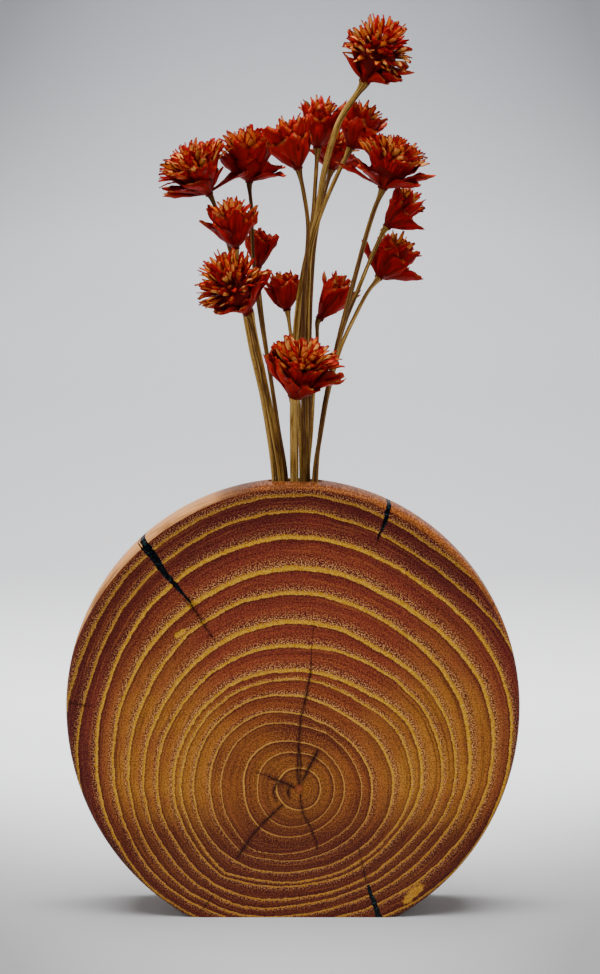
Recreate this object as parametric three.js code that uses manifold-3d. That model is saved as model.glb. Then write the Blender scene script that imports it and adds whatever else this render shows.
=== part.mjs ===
// A vase cut from a log, and the sixteen dried flowers that stand in it.
// Millimetres, +Z up. The origin is the middle of the flat foot, and the front face looks towards -Y.

import * as THREE from 'three';
import { mergeVertices } from 'three/addons/utils/BufferGeometryUtils.js';
import Module from 'manifold-3d';

const wasm = await Module();
wasm.setup();

// The slice of wood is egg-shaped, and its lower edge is cut off flat. It is widest at one level, rises
// from there to the top, and below there it would drop further than the foot if nothing were cut off.
const sliceWidth = 208;
const widestLevel = 96.1;
const riseToTop = 102.6;
const dropUncut = 109.2;
const vaseThickness = 50;

// Its rim: rounded where it meets each face, and slightly crowned across the thickness
const edgeRound = 3;
const rimCrown = 0.8;

// The bore for the flowers, straight down from the top of the rim
const boreDiameter = 25.4;
const boreDepth = 88;
const boreOffset = 1.1;
const mouthEase = 0.8;

// Resin in the drying cracks stands off the wood by this much, and so do stem ends and flower heads
const fitGap = 0.3;

// Each crack starts at the outline, at an angle clockwise from the top as the front face is seen.
// A station is a depth in from there, a width, and a drift sideways from the straight way in.
const cracks = [
  {
    name: 'resin_upper_left',
    angle: -42.3,
    stations: [
      { depth: 0, width: 4.6, drift: 0 },
      { depth: 8, width: 4.0, drift: 0 },
      { depth: 17, width: 3.0, drift: -1.3 },
      { depth: 26, width: 2.6, drift: -1.6 },
      { depth: 37, width: 1.5, drift: -1.9 },
    ],
  },
  {
    name: 'resin_upper_right',
    angle: 25.2,
    stations: [
      { depth: 0, width: 2.6, drift: 0 },
      { depth: 8, width: 2.2, drift: 1.7 },
      { depth: 17, width: 1.5, drift: 1.7 },
    ],
  },
  {
    name: 'resin_foot',
    angle: 157.7,
    stations: [
      { depth: 0, width: 3.1, drift: 0 },
      { depth: 2.5, width: 3.0, drift: 0 },
      { depth: 10.5, width: 2.2, drift: -0.5 },
      { depth: 16.5, width: 1.5, drift: -0.8 },
    ],
  },
];

// Stems: six-sided sweeps that widen into the receptacle just under each flower head
const stemSides = 6;
const stemSteps = 14;
const receptacleLength = 7;
const receptacleFlare = 1.7;

// Each flower stands at a spot in the bore, given as shares of the bore's radius, and follows a route
// whose points are measured from the middle of the mouth. The last point is where the head sits, and aim
// is the way the head looks. Open heads spread their bracts wide, closed ones hold them like a cup.
const flowers = [
  {
    spot: [-0.09, 0.02],
    thickness: 3.0,
    route: [[-1.2, -0.5, 36], [0.6, -1.0, 73], [3.9, -1.0, 96], [9.4, -2.4, 119], [13.4, -5.5, 142],
      [20.3, -8.0, 164], [31.3, -9.0, 181]],
    aim: [0.42, -0.12, 0.90],
    head: { radius: 16.5, height: 30, open: 0.7, bracts: 7, tuft: 0.84 },
  },
  {
    spot: [-0.66, 0.27],
    thickness: 2.2,
    route: [[-14.8, 3.2, 36], [-19.2, 4.0, 59], [-24.1, 4.5, 82], [-28.7, 4.8, 100], [-33.7, 4.5, 117],
      [-39.6, 2.0, 131]],
    aim: [-0.47, -0.22, 0.85],
    head: { radius: 16.5, height: 25, open: 0.85, bracts: 6, tuft: 0.74 },
  },
  {
    spot: [-0.41, 0.0],
    thickness: 2.1,
    route: [[-9.4, 2.8, 32], [-13.0, 5.5, 55], [-16.8, 8.0, 78], [-19.6, 9.5, 102], [-20.3, 10.0, 124],
      [-21.3, 10.5, 137]],
    aim: [0.03, -0.05, 1.0],
    head: { radius: 15.0, height: 25, open: 0.5, bracts: 6, tuft: 0.7 },
  },
  {
    spot: [0.31, -0.35],
    thickness: 2.4,
    route: [[3.5, -5.6, 36], [3.5, -7.2, 73], [4.7, -8.2, 96], [5.7, -8.5, 116], [3.5, -9.4, 132],
      [1.2, -10.5, 142]],
    aim: [-0.24, -0.12, 0.96],
    head: { radius: 11.5, height: 24, open: 0.2, bracts: 6, tuft: 0.7 },
  },
  {
    spot: [0.0, 0.36],
    thickness: 2.4,
    route: [[0.5, 6.8, 36], [2.0, 9.0, 68], [4.4, 10.8, 96], [7.8, 12.2, 119], [9.2, 13.5, 137],
      [10.2, 14.8, 153]],
    aim: [0.07, 0.06, 1.0],
    head: { radius: 11.5, height: 24, open: 0.3, bracts: 6, tuft: 0.74 },
  },
  {
    spot: [0.46, -0.02],
    thickness: 2.4,
    route: [[4.9, -1.5, 36], [5.3, -2.5, 64], [5.8, -4.0, 87], [7.2, -5.6, 107], [12.1, -6.6, 123],
      [19.4, -3.6, 140], [25.2, 0.0, 152]],
    aim: [0.42, 0.18, 0.89],
    head: { radius: 12.0, height: 22, open: 0.35, bracts: 6, tuft: 0.72 },
  },
  {
    spot: [0.38, 0.34],
    thickness: 2.4,
    route: [[6.2, 5.6, 36], [6.6, 7.0, 68], [7.4, 10.0, 91], [9.6, 18.0, 114], [13.6, 26.0, 133],
      [16.8, 32.0, 144]],
    aim: [0.25, 0.22, 0.94],
    head: { radius: 11.0, height: 19, open: 0.55, bracts: 5, tuft: 0.66 },
  },
  {
    spot: [0.67, -0.35],
    thickness: 2.7,
    route: [[11.6, -6.2, 22], [16.4, -7.5, 50], [21.8, -9.0, 73], [26.6, -10.0, 91], [31.4, -10.8, 109],
      [35.7, -11.2, 123], [39.6, -11.5, 133]],
    aim: [0.30, -0.10, 0.95],
    head: { radius: 17.5, height: 24, open: 0.85, bracts: 6, tuft: 0.62 },
  },
  {
    spot: [0.75, -0.03],
    thickness: 2.3,
    route: [[12.0, -1.5, 27], [17.6, -2.4, 55], [23.0, -3.0, 73], [28.6, -2.8, 87], [35.2, -0.8, 103],
      [42.0, 2.0, 116]],
    aim: [0.62, 0.20, 0.76],
    head: { radius: 9.5, height: 21, open: 0.35, bracts: 5, tuft: 0.72 },
  },
  {
    spot: [0.72, 0.31],
    thickness: 2.3,
    route: [[11.5, 4.2, 20], [15.4, 4.2, 41], [21.0, 4.2, 61], [27.4, 5.0, 75], [33.2, 6.4, 86],
      [38.6, 9.0, 93]],
    aim: [0.55, 0.30, 0.78],
    head: { radius: 12.5, height: 23, open: 0.4, bracts: 6, tuft: 0.55 },
  },
  {
    spot: [0.44, 0.63],
    thickness: 2.2,
    route: [[7.3, 9.4, 22], [8.6, 11.8, 45], [10.0, 14.2, 64], [11.3, 16.0, 74]],
    aim: [0.52, 0.16, 0.84],
    head: { radius: 9.5, height: 23, open: 0.15, bracts: 6, tuft: 0.6 },
  },
  {
    spot: [0.2, -0.03],
    thickness: 2.1,
    route: [[1.9, 1.8, 27], [0.4, 3.2, 50], [-2.4, 5.2, 68], [-3.9, 6.4, 78]],
    aim: [-0.18, 0.05, 0.98],
    head: { radius: 8.0, height: 18, open: 0.15, bracts: 5, tuft: 0.62 },
  },
  {
    spot: [-0.04, -0.35],
    thickness: 3.9,
    route: [[-0.5, -9.5, 16], [-0.4, -14.5, 29], [0.0, -19.0, 39]],
    aim: [0.2, -0.34, 0.92],
    head: { radius: 16.0, height: 26, open: 0.75, bracts: 6, tuft: 0.66 },
  },
  {
    spot: [-0.52, -0.35],
    thickness: 3.1,
    route: [[-9.9, -6.0, 22], [-13.8, -8.4, 43], [-17.8, -11.2, 62], [-21.6, -14.4, 77]],
    aim: [-0.48, -0.40, 0.78],
    head: { radius: 17.0, height: 30, open: 0.7, bracts: 7, tuft: 0.84 },
  },
  {
    spot: [-0.8, -0.06],
    thickness: 2.1,
    route: [[-15.2, 0.0, 36], [-20.6, -0.4, 60], [-24.2, -1.6, 81], [-26.0, -4.6, 96], [-27.2, -8.4, 106]],
    aim: [-0.12, -0.14, 0.98],
    head: { radius: 11.5, height: 23, open: 0.35, bracts: 5, tuft: 0.6 },
  },
  {
    spot: [-0.33, 0.35],
    thickness: 2.0,
    route: [[-7.6, 6.8, 22], [-10.8, 9.6, 43], [-14.6, 13.4, 68], [-16.6, 16.4, 85], [-17.4, 18.4, 98]],
    aim: [0.06, 0.14, 0.99],
    head: { radius: 7.5, height: 18, open: 0.1, bracts: 5, tuft: 0.55 },
  },
];

// Finishes seen in daylight
const woodFinish = { color: 0x8a4a1e, roughness: 0.3, metalness: 0 };
const resinFinish = { color: 0x10141c, roughness: 0.15, metalness: 0 };
const stemFinish = { color: 0x8a6c38, roughness: 0.75, metalness: 0 };
const bloomFinish = { color: 0x9a1508, roughness: 0.7, metalness: 0 };

const boreRadius = boreDiameter / 2;
const vaseHeight = widestLevel + riseToTop;
const boreFloorHeight = vaseHeight - boreDepth;
const mouthCentre = new THREE.Vector3(boreOffset, 0, vaseHeight);
const beyond = 5;

function meshFromLists(vertices, triangles) {
  const geometry = new THREE.BufferGeometry();
  geometry.setAttribute('position', new THREE.Float32BufferAttribute(vertices, 3));
  geometry.setIndex(triangles);
  geometry.computeVertexNormals();
  return geometry;
}

function solidFrom(geometry) {
  const bare = geometry.clone();
  bare.deleteAttribute('normal');
  bare.deleteAttribute('uv');
  const merged = mergeVertices(bare);
  return new wasm.Manifold(new wasm.Mesh({
    numProp: 3,
    vertProperties: new Float32Array(merged.attributes.position.array),
    triVerts: new Uint32Array(merged.index.array),
  }));
}

function geometryFrom(solid) {
  const mesh = solid.getMesh();
  return meshFromLists(Array.from(mesh.vertProperties), Array.from(mesh.triVerts));
}

// Closes a stack of equal rings of points into one skin, with a fan from a point at each end
function skinOverRings(rings, firstPole, lastPole) {
  const count = rings[0].length;
  const vertices = [];
  const triangles = [];
  for (const ring of rings) {
    for (const point of ring) {
      vertices.push(point.x, point.y, point.z);
    }
  }
  const firstPoleIndex = vertices.length / 3;
  vertices.push(firstPole.x, firstPole.y, firstPole.z);
  const lastPoleIndex = firstPoleIndex + 1;
  vertices.push(lastPole.x, lastPole.y, lastPole.z);
  const lastRingStart = (rings.length - 1) * count;
  for (let i = 0; i < count; i += 1) {
    const next = (i + 1) % count;
    triangles.push(firstPoleIndex, next, i);
    triangles.push(lastPoleIndex, lastRingStart + i, lastRingStart + next);
    for (let ring = 0; ring < rings.length - 1; ring += 1) {
      const low = ring * count;
      const high = low + count;
      triangles.push(low + i, low + next, high + next);
      triangles.push(low + i, high + next, high + i);
    }
  }
  return meshFromLists(vertices, triangles);
}

// How far the rim is from the middle of the widest level, along a turn clockwise from straight up
function rimReach(turn) {
  const across = Math.sin(turn) / (sliceWidth / 2);
  const upright = Math.cos(turn) / (Math.cos(turn) > 0 ? riseToTop : dropUncut);
  return 1 / Math.hypot(across, upright);
}

// The same once the foot is cut off flat
function outlineReach(turn) {
  const toFoot = Math.cos(turn) < 0 ? widestLevel / -Math.cos(turn) : Infinity;
  return Math.min(rimReach(turn), toFoot);
}

function sliceRing(inset, y) {
  const points = [];
  const segments = 88;
  for (let i = 0; i < segments; i += 1) {
    const turn = (2 * Math.PI * i) / segments;
    const reach = rimReach(turn) - inset;
    points.push(new THREE.Vector3(reach * Math.sin(turn), y, widestLevel + reach * Math.cos(turn)));
  }
  return points;
}

// The rim's section, from one face to the other: how far in from the crown, at which place across
function rimSection() {
  const half = vaseThickness / 2;
  const section = [];
  const roundSteps = 3;
  for (let i = 0; i <= roundSteps; i += 1) {
    const turn = ((Math.PI / 2) * i) / roundSteps;
    section.push({
      inset: rimCrown + edgeRound * (1 - Math.sin(turn)),
      y: -half + edgeRound * (1 - Math.cos(turn)),
    });
  }
  section.push({ inset: rimCrown / 4, y: -half / 2 });
  const mirrored = section.slice().reverse().map(({ inset, y }) => ({ inset, y: -y }));
  return [...section, { inset: 0, y: 0 }, ...mirrored];
}

function slicedLog() {
  const rings = rimSection().map(({ inset, y }) => sliceRing(inset, y));
  const half = vaseThickness / 2;
  const frontPole = new THREE.Vector3(0, -half, widestLevel);
  const backPole = new THREE.Vector3(0, half, widestLevel);
  const round = solidFrom(skinOverRings(rings, frontPole, backPole));
  const cutDepth = dropUncut - widestLevel + beyond;
  const footCut = new THREE.BoxGeometry(sliceWidth, vaseThickness + beyond, cutDepth);
  footCut.translate(0, 0, -cutDepth / 2);
  return round.subtract(solidFrom(footCut));
}

// A round tool with a short flare that eases the sharp edge of the mouth
function boreTool() {
  const segments = 32;
  const top = vaseHeight + beyond;
  const tool = new THREE.LatheGeometry([
    new THREE.Vector2(0, boreFloorHeight),
    new THREE.Vector2(boreRadius, boreFloorHeight),
    new THREE.Vector2(boreRadius, vaseHeight - mouthEase),
    new THREE.Vector2(boreRadius + mouthEase + beyond, top),
    new THREE.Vector2(0, top),
  ], segments);
  tool.rotateX(Math.PI / 2);
  tool.translate(boreOffset, 0, 0);
  return solidFrom(tool);
}

// A crack's prism runs through the whole thickness. A trim pulls its walls in on every side.
function crackPrism(crack, trim) {
  const turn = THREE.MathUtils.degToRad(crack.angle);
  const outward = new THREE.Vector2(Math.sin(turn), Math.cos(turn));
  const sideways = new THREE.Vector2(outward.y, -outward.x);
  const rim = outward.clone().multiplyScalar(outlineReach(turn));
  const outside = { ...crack.stations[0], depth: -beyond };
  const tip = crack.stations[crack.stations.length - 1];
  const stations = [outside, ...crack.stations.slice(0, -1), { ...tip, depth: tip.depth - trim }];
  const place = (station, side) => rim.clone()
    .addScaledVector(outward, -station.depth)
    .addScaledVector(sideways, station.drift + side * (station.width / 2 - trim));
  const outline = new THREE.Shape([
    ...stations.map((station) => place(station, 1)),
    ...stations.slice().reverse().map((station) => place(station, -1)),
  ]);
  const depth = vaseThickness + 2 * beyond;
  const prism = new THREE.ExtrudeGeometry(outline, { depth, bevelEnabled: false });
  prism.rotateX(Math.PI / 2);
  prism.translate(0, depth / 2, widestLevel);
  return solidFrom(prism);
}

// Rings square to a curve, each with its own radius
function ringsAlong(curve, steps, sides, radiusAt) {
  const frames = curve.computeFrenetFrames(steps, false);
  const rings = [];
  for (let step = 0; step <= steps; step += 1) {
    const share = step / steps;
    const centre = curve.getPointAt(share);
    const ring = [];
    for (let side = 0; side < sides; side += 1) {
      const turn = (2 * Math.PI * side) / sides;
      ring.push(centre.clone()
        .addScaledVector(frames.normals[step], radiusAt(share) * Math.cos(turn))
        .addScaledVector(frames.binormals[step], radiusAt(share) * Math.sin(turn)));
    }
    rings.push(ring);
  }
  return rings;
}

function stemCurve(flower) {
  const [across, back] = flower.spot;
  const spot = new THREE.Vector3(across * boreRadius, back * boreRadius, 0);
  const foot = spot.clone().setZ(fitGap - boreDepth);
  const route = flower.route.map((point) => new THREE.Vector3(...point));
  const joint = route[route.length - 1];
  const aim = new THREE.Vector3(...flower.aim).normalize();
  const underJoint = joint.clone().addScaledVector(aim, -receptacleLength / 2);
  const points = [foot, foot.clone().lerp(spot, 0.5), spot, ...route.slice(0, -1), underJoint, joint];
  return new THREE.CatmullRomCurve3(points.map((point) => point.add(mouthCentre)), false, 'centripetal');
}

function stemGeometry(flower) {
  const curve = stemCurve(flower);
  const length = curve.getLength();
  const radiusAt = (share) => {
    const toHead = (1 - share) * length;
    const flare = Math.max(0, 1 - toHead / receptacleLength);
    return (flower.thickness / 2) * (1 + (receptacleFlare - 1) * flare * flare);
  };
  const rings = ringsAlong(curve, stemSteps, stemSides, radiusAt);
  return skinOverRings(rings, curve.getPointAt(0), curve.getPointAt(1));
}

// The skin of a flower head, ring by ring from its neck: reach is a share of the head's radius and rise
// a share of its height. Lobes follow the bracts, and spikes stand up and down on neighbouring points.
function bloomProfile({ open, tuft }) {
  const mix = (closed, opened) => THREE.MathUtils.lerp(closed, opened, open);
  return [
    { reach: mix(0.5, 0.45), rise: mix(0.16, 0.08), lobe: 0, spike: 0 },
    { reach: mix(0.8, 0.75), rise: mix(0.42, 0.17), lobe: 0.06, spike: 0 },
    { reach: 0.92, rise: mix(0.8, 0.32), lobe: 0.1, spike: 0 },
    { reach: mix(0.72, 0.7), rise: mix(0.7, 0.36), lobe: 0.04, spike: 0 },
    { reach: tuft * 0.88, rise: mix(0.78, 0.56), lobe: 0, spike: 0.04 },
    { reach: tuft * 0.72, rise: mix(0.9, 0.82), lobe: 0, spike: 0.06 },
    { reach: tuft * 0.36, rise: 0.95, lobe: 0, spike: 0.05 },
  ];
}

function bloomGeometry(flower) {
  const { radius, height, bracts } = flower.head;
  const neckRadius = (flower.thickness / 2) * receptacleFlare;
  const pointsPerBract = 4;
  const count = bracts * pointsPerBract;
  const ringOf = (reach, rise, lobe, spike) => {
    const ring = [];
    for (let i = 0; i < count; i += 1) {
      const turn = (2 * Math.PI * i) / count;
      const petal = Math.cos(turn * bracts);
      const tooth = i % 2 === 0 ? 1 : -1;
      const out = reach + lobe * petal * radius;
      const up = rise + (spike * tooth + 0.5 * lobe * petal) * height;
      ring.push(new THREE.Vector3(out * Math.cos(turn), out * Math.sin(turn), up));
    }
    return ring;
  };
  const rings = [ringOf(neckRadius, fitGap, 0, 0)];
  for (const { reach, rise, lobe, spike } of bloomProfile(flower.head)) {
    rings.push(ringOf(reach * radius, rise * height, lobe, spike));
  }
  const under = new THREE.Vector3(0, 0, fitGap);
  const top = new THREE.Vector3(0, 0, height);
  return skinOverRings(rings, under, top);
}

function namedMesh(name, geometry, finish) {
  const mesh = new THREE.Mesh(geometry, new THREE.MeshStandardMaterial(finish));
  mesh.name = name;
  return mesh;
}

const vase = new THREE.Group();
const blank = slicedLog();
let wood = blank.subtract(boreTool());
for (const crack of cracks) {
  wood = wood.subtract(crackPrism(crack, 0));
  const resin = blank.intersect(crackPrism(crack, fitGap));
  vase.add(namedMesh(crack.name, geometryFrom(resin), resinFinish));
}
vase.add(namedMesh('disc_body', geometryFrom(wood), woodFinish));

const bunch = new THREE.Group();
flowers.forEach((flower, index) => {
  const number = String(index + 1).padStart(2, '0');
  bunch.add(namedMesh(`stem_${number}`, stemGeometry(flower), stemFinish));
  const bloom = namedMesh(`bloom_${number}`, bloomGeometry(flower), bloomFinish);
  const joint = new THREE.Vector3(...flower.route[flower.route.length - 1]);
  const aim = new THREE.Vector3(...flower.aim).normalize();
  bloom.position.copy(joint.add(mouthCentre));
  bloom.quaternion.setFromUnitVectors(new THREE.Vector3(0, 0, 1), aim);
  bunch.add(bloom);
});

const model = new THREE.Group();
model.add(vase, bunch);

export default model;
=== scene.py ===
"""A vase cut from a log, holding dried flowers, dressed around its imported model.

The lists give millimetres in the part's frame: +Z up, the front face of the slice towards -Y.
Blender works in metres, so lengths are multiplied by MM where they reach it.
"""

import math
import random
from collections import namedtuple
from types import SimpleNamespace

import bpy
import numpy as np
from mathutils import Matrix, Vector


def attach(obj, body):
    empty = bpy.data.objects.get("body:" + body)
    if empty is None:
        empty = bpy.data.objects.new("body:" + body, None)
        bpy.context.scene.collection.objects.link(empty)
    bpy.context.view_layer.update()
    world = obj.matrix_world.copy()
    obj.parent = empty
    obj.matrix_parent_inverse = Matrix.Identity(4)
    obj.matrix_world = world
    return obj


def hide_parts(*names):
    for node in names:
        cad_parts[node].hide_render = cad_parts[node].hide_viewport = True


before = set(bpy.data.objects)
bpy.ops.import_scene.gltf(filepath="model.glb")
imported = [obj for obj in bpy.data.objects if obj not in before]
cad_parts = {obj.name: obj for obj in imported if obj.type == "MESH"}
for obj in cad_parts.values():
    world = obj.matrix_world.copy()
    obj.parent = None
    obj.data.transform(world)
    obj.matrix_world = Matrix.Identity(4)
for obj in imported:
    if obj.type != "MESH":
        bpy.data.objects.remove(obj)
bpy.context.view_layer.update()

MM = 0.001

# The camera of the photograph: its place, the lens and its sensor, and how far it looks down
CAMERA_PLACE = (3.2, -1200, 270.3)
LENS = 96.42
SENSOR_WIDTH = 36
LOOK_DOWN = 3.587

# The slice of the log, as its solid is made
SLICE_WIDTH = 208
WIDEST_LEVEL = 96.1
RISE_TO_TOP = 102.6
DROP_UNCUT = 109.2
THICKNESS = 50
EDGE_ROUND = 3
RIM_CROWN = 0.8
VASE_HEIGHT = WIDEST_LEVEL + RISE_TO_TOP

# The bore that holds the stems
BORE_RADIUS = 12.7
BORE_DEPTH = 88
BORE_OFFSET = 1.1
MOUTH_EASE = 0.8
STEM_CLEARANCE = 0.3

# Where the log's pith comes out on the front face, and how far it wanders on its way to the back
PITH = (2.7, 59.1)
PITH_WANDER = (2.2, -1.4)

# Growth rings: how far each ring's pale edge is from the pith, along spokes turned clockwise from
# straight up. The rings kink at the first spoke, where the heart has split, and run smoothly round.
SPOKES = (221, 240, 270, 300, 330, 360, 390, 420, 450, 480, 510, 540, 570, 581)
RINGS = (
    (9.5, 9.5, 9.6, 9.6, 9.6, 9.4, 9.3, 9.3, 9.4, 9.5, 9.5, 9.5, 9.5),
    (19.0, 18.8, 18.8, 19.2, 18.3, 16.2, 16.2, 16.2, 16.0, 16.0, 16.0, 17.0, 18.6),
    (24.4, 24.7, 24.7, 25.5, 24.0, 21.0, 20.5, 20.1, 20.2, 20.2, 20.3, 21.4, 23.6),
    (35.2, 34.8, 35.2, 35.3, 33.5, 29.0, 28.2, 27.3, 28.4, 28.4, 27.6, 29.0, 33.5),
    (38.8, 39.2, 40.0, 40.3, 38.5, 33.5, 31.1, 31.9, 32.8, 33.0, 31.6, 32.5, 36.2),
    (43.6, 46.0, 47.5, 47.7, 46.0, 41.8, 39.3, 41.5, 42.2, 40.5, 37.4, 37.4, 42.0),
    (50.5, 51.0, 53.2, 53.2, 52.0, 49.7, 48.0, 51.2, 50.5, 45.2, 42.0, 42.3, 47.0),
    (52.5, 53.8, 56.2, 56.3, 55.5, 53.2, 52.5, 56.8, 54.5, 47.5, 44.3, 44.0, 49.3),
    (58.0, 60.0, 64.2, 65.0, 65.6, 64.8, 65.0, 66.6, 64.0, 54.4, 49.7, 49.7, 55.5),
    (62.5, 65.6, 70.0, 71.6, 74.3, 75.3, 72.4, 73.8, 69.8, 59.1, 53.0, 53.0, 60.3),
    (67.0, 71.4, 76.5, 80.6, 86.9, 88.6, 84.9, 82.6, 75.4, 64.3, 57.7, 57.5, 64.4),
    (70.5, 76.3, 82.8, 89.6, 95.8, 99.6, 95.2, 94.8, 84.6, 71.0, 62.8, 61.5, 67.5),
    (75.5, 81.7, 90.0, 98.4, 109.2, 113.9, 108.4, 105.2, 91.9, 78.8, 69.0, 66.0, 72.0),
    (83.0, 89.5, 99.0, 107.3, 119.8, 125.9, 117.6, 114.5, 100.5, 86.0, 76.0, 73.0, 79.0),
    (90.0, 97.0, 106.0, 114.5, 127.2, 133.1, 124.9, 121.0, 108.0, 93.0, 82.0, 80.0, 86.0),
)

# The rings beyond the last of these are this wide
OUTER_RING_WIDTH = 9

# Drying cracks filled with resin. Each starts at the outline, at an angle clockwise from the top. A
# station is a depth in from there, and how far the crack's two edges lie to the side of the way in.
CRACKS = {
    "resin_upper_left": (-42.3, (
        ((-3, -0.6, 2.3), (0, -0.4, 2.3), (4, -1.0, 2.5), (8, -1.9, 2.0), (11, -2.2, 1.4),
         (14, -2.7, 0.9), (17, -2.9, 0.2), (20, -2.9, -0.2), (26, -2.8, -0.6), (31, -2.5, -1.1),
         (37, -2.2, -1.6)),
        ((-3, -2.0, -1.2), (0, -1.8, -1.1), (5, -1.9, -1.1), (8.5, -2.3, -1.6)),
    )),
    "resin_upper_right": (25.2, (
        ((-3, -1.2, 1.3), (0, -1.1, 1.3), (3, -0.7, 1.6), (7, 0.3, 2.6), (9, 0.8, 2.6),
         (13, 1.1, 2.2), (17, 1.4, 2.0)),
    )),
    "resin_foot": (157.7, (
        ((-3, -1.4, 1.7), (0, -1.4, 1.6), (3, -1.3, 1.4), (6, -1.4, 0.9), (10.5, -1.5, 0.5),
         (14, -1.4, 0.1), (16.5, -1.3, -0.3)),
    )),
}

# How far the cracks' tools stand out past both faces, and the least width of a crack
CRACK_OVERRUN = 4
CRACK_LEAST_WIDTH = 0.12

# Dark lines in the wood's surface, as points measured from the pith, each with the line's width there:
# splits of the heart first, then the hair cracks that run on from the resin or in from the rim
WOOD_LINES = (
    ((0.0, 1.6, 0.5), (-0.6, 8.0, 0.55), (-0.3, 17.0, 0.5), (0.4, 28.0, 0.45), (1.0, 33.0, 0.4),
     (3.2, 42.0, 0.55), (5.3, 53.0, 0.45), (5.6, 62.0, 0.16), (6.8, 76.0, 0.1)),
    ((0.2, 1.4, 0.4), (0.9, 10.0, 0.4), (0.2, 20.0, 0.3)),
    ((1.2, 2.6, 0.5), (4.2, 9.0, 0.7), (7.6, 15.4, 0.9), (8.6, 17.6, 0.5)),
    ((-1.2, 0.5, 0.5), (-5.0, 1.8, 0.7), (-9.6, 4.2, 0.7), (-13.0, 5.2, 0.4), (-18.6, 7.6, 0.35)),
    ((-3.2, 2.6, 0.3), (-5.0, -0.8, 0.6), (-4.2, -4.0, 0.4)),
    ((-9.4, 4.0, 0.4), (-11.6, -1.0, 0.5), (-10.2, -6.0, 0.3)),
    ((-7.6, -7.4, 0.5), (-12.5, -12.0, 0.65), (-16.2, -15.6, 0.6), (-21.4, -21.4, 0.55),
     (-26.0, -28.4, 0.75), (-28.0, -31.6, 0.4)),
    ((0.6, -3.0, 0.4), (1.2, -8.6, 0.6), (3.0, -13.6, 0.45), (5.0, -17.0, 0.4), (7.8, -24.6, 0.45),
     (8.6, -27.6, 0.3)),
    ((-50.2, 86.6, 0.8), (-48.6, 84.0, 0.8), (-43.0, 75.0, 0.55), (-38.0, 67.5, 0.2)),
    ((37.0, 117.0, 0.35), (34.6, 110.8, 0.15)),
    ((-104.0, 39.6, 0.4), (-95.2, 37.8, 0.25)),
    ((-43.5, -55.0, 0.35), (-39.2, -49.2, 0.2)),
    ((91.0, 88.0, 0.35), (87.0, 82.5, 0.2)),
    ((30.6, -42.0, 0.4), (28.7, -33.3, 0.25), (27.2, -26.0, 0.15)),
)

# Patches of early wood off the rings, from the pith: place, half length and half width, and lean
PALE_PATCHES = (
    (-53.6, 71.1, 3.4, 1.5, 0.65),
    (52.3, -48.0, 6.5, 2.2, 0.75),
)

# Darker patches round the heart, from the pith: place, size and strength
DARK_PATCHES = (
    (0.5, 27.0, 16.0, 0.85),
    (15.0, 23.0, 10.0, 0.6),
    (-10.0, 2.5, 8.0, 0.55),
    (27.4, -7.8, 6.0, 0.5),
    (-33.0, 12.0, 10.0, 0.4),
    (-24.0, -26.0, 7.0, 0.6),
    (26.0, -60.0, 34.0, 0.3),
    (-80.0, 84.0, 40.0, 0.45),
)

# Edges of the slice and of the resin that turn by more than this stay sharp in the shading
SHARP_ANGLE = math.radians(40)

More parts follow.
